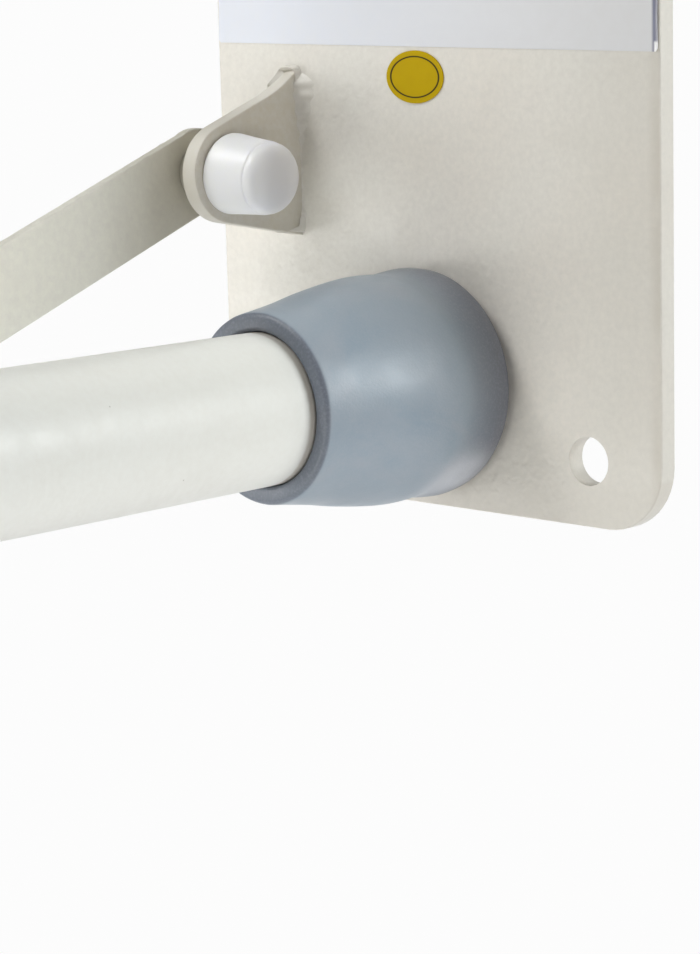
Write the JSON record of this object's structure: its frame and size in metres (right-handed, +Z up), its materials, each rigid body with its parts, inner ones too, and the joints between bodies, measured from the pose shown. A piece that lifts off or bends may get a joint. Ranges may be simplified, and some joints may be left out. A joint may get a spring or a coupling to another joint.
{
  "type": "drop-down toilet support rail",
  "caption": "Wall-mounted hinged toilet support rail: U-shaped tube arm that folds up on a wall plate, with a linked height-adjustable drop-down leg and rubber wall buffer.",
  "frame": {"origin": "centre of the wall plate's back face, on the wall", "axes": "+Z up, +Y into the wall, so the rail points along -Y; +X to the right of a person facing the wall"},
  "size_m": [0.1307, 0.7424, 0.7515],
  "materials": {
    "coated_steel": "warm white powder coat with a fine orange-peel texture",
    "zinc_steel": "bright zinc plate",
    "plated_tube": "satin zinc-plated tube",
    "spring_steel": "plain spring steel",
    "button_metal": "bright nickel plate",
    "white_nylon": "slightly translucent white moulding",
    "grey_nylon": "fine moulded grey",
    "buffer_rubber": "satin blue-grey rubber",
    "label_film": "pale silver film, blank",
    "sticker_film": "yellow film with a thin dark oval line, blank"
  },
  "bodies": {
    "wall_mount": {"wall_plate": "coated_steel", "hinge_ear_right": "coated_steel", "hinge_ear_left": "coated_steel", "hinge_ear_welds": "coated_steel", "hinge_bolt": "zinc_steel", "hinge_washers": "zinc_steel", "hinge_nut": "zinc_steel", "hinge_friction_washers": "grey_nylon", "hinge_bolt_covers": "white_nylon", "link_lug": "coated_steel", "link_lug_welds": "coated_steel", "link_pivot_bush": "grey_nylon", "link_pivot_bolt": "zinc_steel", "link_pivot_washers": "zinc_steel", "link_pivot_nut": "zinc_steel", "link_nut_cover": "white_nylon", "rating_label": "label_film", "inspection_sticker": "sticker_film"},
    "arm": {"arm_tube": "coated_steel", "fold_pivot_sleeve": "zinc_steel", "arm_end_plug": "grey_nylon", "wall_buffer_ferrule": "buffer_rubber", "leg_bolt_sleeve": "zinc_steel", "leg_pivot_bolt": "zinc_steel", "leg_pivot_washers": "zinc_steel", "leg_stand_off": "zinc_steel", "leg_pivot_nut": "zinc_steel", "leg_bolt_covers": "white_nylon"},
    "link": {"link_strap": "coated_steel"},
    "leg": {"leg_outer_tube": "coated_steel", "leg_top_cap": "grey_nylon", "leg_pivot_sleeve": "zinc_steel", "leg_collar": "grey_nylon", "link_rivet_nut": "zinc_steel", "link_shoulder_screw": "zinc_steel", "link_screw_washer": "zinc_steel", "link_screw_cover": "white_nylon"},
    "leg_foot": {"leg_inner_tube": "plated_tube", "foot_ferrule": "buffer_rubber", "foot_steel_disc": "zinc_steel", "button_spring": "spring_steel"},
    "button": {"snap_button": "button_metal"}
  },
  "joints": [
    {"name": "arm_fold", "type": "hinge", "parent": "wall_mount", "child": "arm", "pos_m": [0, -0.0207, 0.0863], "axis": [-1, 0, 0], "range_deg": [0, 90]},
    {"name": "link_swing", "type": "hinge", "parent": "wall_mount", "child": "link", "pos_m": [-0.0393, -0.0207, -0.0577], "axis": [-1, 0, 0], "range_deg": [0, 90]},
    {"name": "leg_hinge", "type": "hinge", "parent": "arm", "child": "leg", "pos_m": [-0.0519, -0.4827, -0.0937], "axis": [-1, 0, 0], "range_deg": [-90, 0]},
    {"name": "leg_height", "type": "slide", "parent": "leg", "child": "leg_foot", "axis": [0, 0, -1], "range_m": [-0.057, 0.057]},
    {"name": "button_press", "type": "slide", "parent": "leg_foot", "child": "button", "axis": [0, 1, 0], "range_m": [0, 0.004], "stiffness_N_per_m": 1500, "springref_m": -0.001, "deforming": ["button_spring"]}
  ],
  "couplings": [
    {"joint": "link_swing", "follows": "arm_fold", "ratio": 1},
    {"joint": "leg_hinge", "follows": "arm_fold", "ratio": -1}
  ]
}
